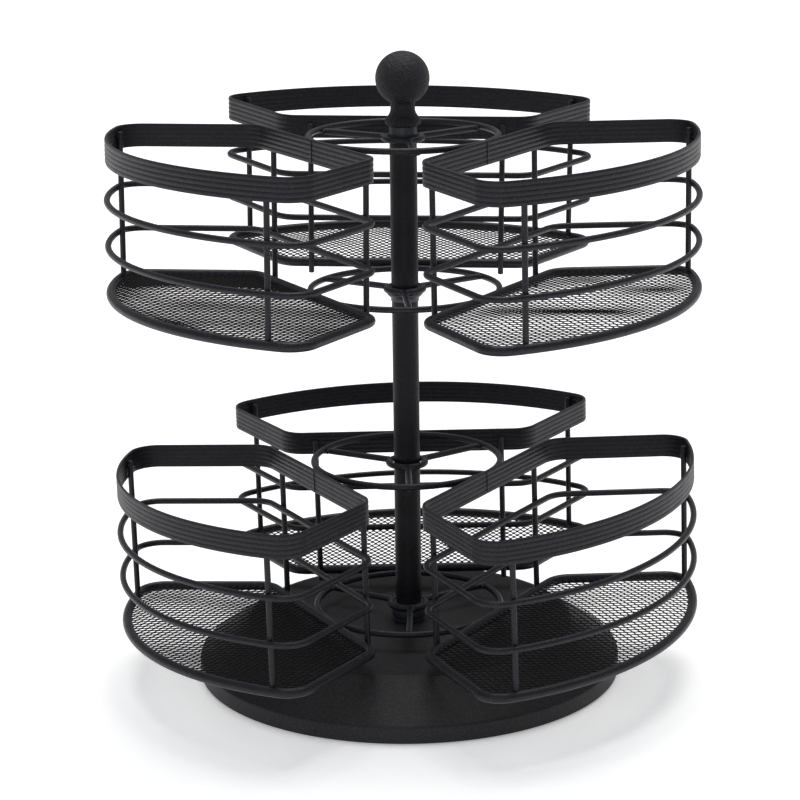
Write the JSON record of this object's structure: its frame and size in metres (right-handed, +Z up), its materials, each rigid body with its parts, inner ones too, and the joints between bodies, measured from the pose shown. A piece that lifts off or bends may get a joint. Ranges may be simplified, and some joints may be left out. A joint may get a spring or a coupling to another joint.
{
  "type": "lazy susan organizer",
  "caption": "Turning desk organizer: fan-shaped wire baskets with mesh floors on carousels that spin on a central pole with a ball finial, above a broad bell-shaped round base.",
  "frame": {"origin": "centre of the underside of the non-slip pad, on the pole axis, where the organizer meets the table", "axes": "+Z up along the pole; +Y towards the back basket; +X towards the right-hand baskets"},
  "size_m": [0.3572, 0.3479, 0.3844],
  "materials": {
    "black_powder_coat": "satin black powder coat, fine texture",
    "black_nylon": "moulded black nylon",
    "black_foam": "closed-cell foam sheet",
    "plain_steel": "zinc-plated steel"
  },
  "bodies": {
    "stand": {"base_cover": "black_powder_coat", "base_weight_plate": "plain_steel", "non_slip_pad": "black_foam", "pole_bolt_washer": "plain_steel", "pole_bolt": "plain_steel", "lower_pole": "black_powder_coat", "upper_pole": "black_powder_coat", "lower_pole_inserts": "plain_steel", "upper_pole_inserts": "plain_steel", "pole_joining_stud": "plain_steel", "lower_bush": "black_nylon", "middle_bush": "black_nylon", "top_bush": "black_nylon", "ball_finial": "black_powder_coat", "finial_stud": "plain_steel"},
    "upper_tier": {"upper_back_rim_band": "black_powder_coat", "upper_back_high_loop": "black_powder_coat", "upper_back_low_loop": "black_powder_coat", "upper_back_floor_frame": "black_powder_coat", "upper_back_mesh_floor": "black_powder_coat", "upper_back_posts": "black_powder_coat", "upper_left_rim_band": "black_powder_coat", "upper_left_high_loop": "black_powder_coat", "upper_left_low_loop": "black_powder_coat", "upper_left_floor_frame": "black_powder_coat", "upper_left_mesh_floor": "black_powder_coat", "upper_left_posts": "black_powder_coat", "upper_right_rim_band": "black_powder_coat", "upper_right_high_loop": "black_powder_coat", "upper_right_low_loop": "black_powder_coat", "upper_right_floor_frame": "black_powder_coat", "upper_right_mesh_floor": "black_powder_coat", "upper_right_posts": "black_powder_coat", "upper_hub_rings": "black_powder_coat", "upper_spokes": "black_powder_coat", "upper_top_ring": "black_powder_coat", "upper_bottom_ring": "black_powder_coat"},
    "lower_tier": {"lower_back_rim_band": "black_powder_coat", "lower_back_high_loop": "black_powder_coat", "lower_back_low_loop": "black_powder_coat", "lower_back_floor_frame": "black_powder_coat", "lower_back_mesh_floor": "black_powder_coat", "lower_back_posts": "black_powder_coat", "lower_left_rim_band": "black_powder_coat", "lower_left_high_loop": "black_powder_coat", "lower_left_low_loop": "black_powder_coat", "lower_left_floor_frame": "black_powder_coat", "lower_left_mesh_floor": "black_powder_coat", "lower_left_posts": "black_powder_coat", "lower_right_rim_band": "black_powder_coat", "lower_right_high_loop": "black_powder_coat", "lower_right_low_loop": "black_powder_coat", "lower_right_floor_frame": "black_powder_coat", "lower_right_mesh_floor": "black_powder_coat", "lower_right_posts": "black_powder_coat", "lower_hub_rings": "black_powder_coat", "lower_spokes": "black_powder_coat", "lower_top_ring": "black_powder_coat", "lower_bottom_ring": "black_powder_coat"}
  },
  "joints": [
    {"name": "lower_tier_spin", "type": "hinge", "parent": "stand", "child": "lower_tier", "pos_m": [0, 0, 0.0407], "axis": [0, 0, 1], "continuous": true},
    {"name": "upper_tier_spin", "type": "hinge", "parent": "stand", "child": "upper_tier", "pos_m": [0, 0, 0.2412], "axis": [0, 0, 1], "continuous": true}
  ]
}
